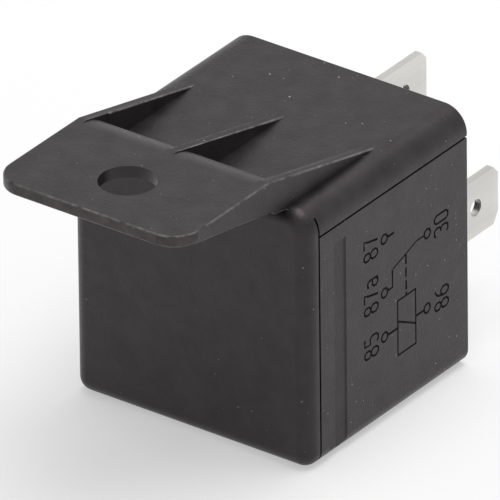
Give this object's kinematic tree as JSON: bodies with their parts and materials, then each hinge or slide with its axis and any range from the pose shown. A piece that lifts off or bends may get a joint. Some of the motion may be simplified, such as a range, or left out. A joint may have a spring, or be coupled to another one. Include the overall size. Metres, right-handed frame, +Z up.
{
  "type": "automotive relay",
  "caption": "Automotive change-over relay: moulded cover with a screw bracket, blade terminals on the base, and inside a coil, yoke, hinged armature and contacts.",
  "frame": {"origin": "centre of the resting face, the side of the cover opposite the bracket", "axes": "+X from the closed end to the blade terminals, +Z up from the resting face towards the bracket side, -Y is the side that carries the wiring diagram"},
  "size_m": [0.0552, 0.0282, 0.0322],
  "materials": {
    "cover_plastic": "charcoal moulded plastic, fine matt grain",
    "base_plastic": "black moulded plastic",
    "blade_metal": "tin plated sheet",
    "zinc_plated_iron": "zinc plated iron",
    "core_iron": "nickel plated iron",
    "bobbin_plastic": "natural moulded plastic",
    "enamel_wire": "enamelled copper wire",
    "tape": "yellow film tape",
    "solder": "tin solder",
    "silver_contact": "silver alloy",
    "spring_bronze": "spring bronze strip",
    "rivet_metal": "plated steel"
  },
  "bodies": {
    "relay": {"cover": "cover_plastic", "base": "base_plastic", "terminal_30": "blade_metal", "terminal_85": "blade_metal", "terminal_86": "blade_metal", "terminal_87": "blade_metal", "terminal_87a": "blade_metal", "yoke": "zinc_plated_iron", "core": "core_iron", "bobbin": "bobbin_plastic", "coil": "enamel_wire", "coil_tape": "tape", "lead_85": "enamel_wire", "lead_86": "enamel_wire", "solder_85": "solder", "solder_86": "solder", "fixed_contact_nc": "silver_contact", "fixed_contact_no": "silver_contact", "yoke_rivet_1": "rivet_metal", "yoke_rivet_2": "rivet_metal"},
    "armature": {"armature": "core_iron", "contact_spring": "spring_bronze", "moving_contact": "silver_contact", "armature_rivet_1": "rivet_metal", "armature_rivet_2": "rivet_metal"}
  },
  "joints": [
    {"name": "armature_hinge", "type": "hinge", "parent": "relay", "child": "armature", "pos_m": [-0.0074, 0, 0.0241], "axis": [0, -1, 0], "range_deg": [0, 2.8], "stiffness_Nm_per_rad": 0.35, "springref_deg": -2.29, "deforming": ["contact_spring"]}
  ]
}
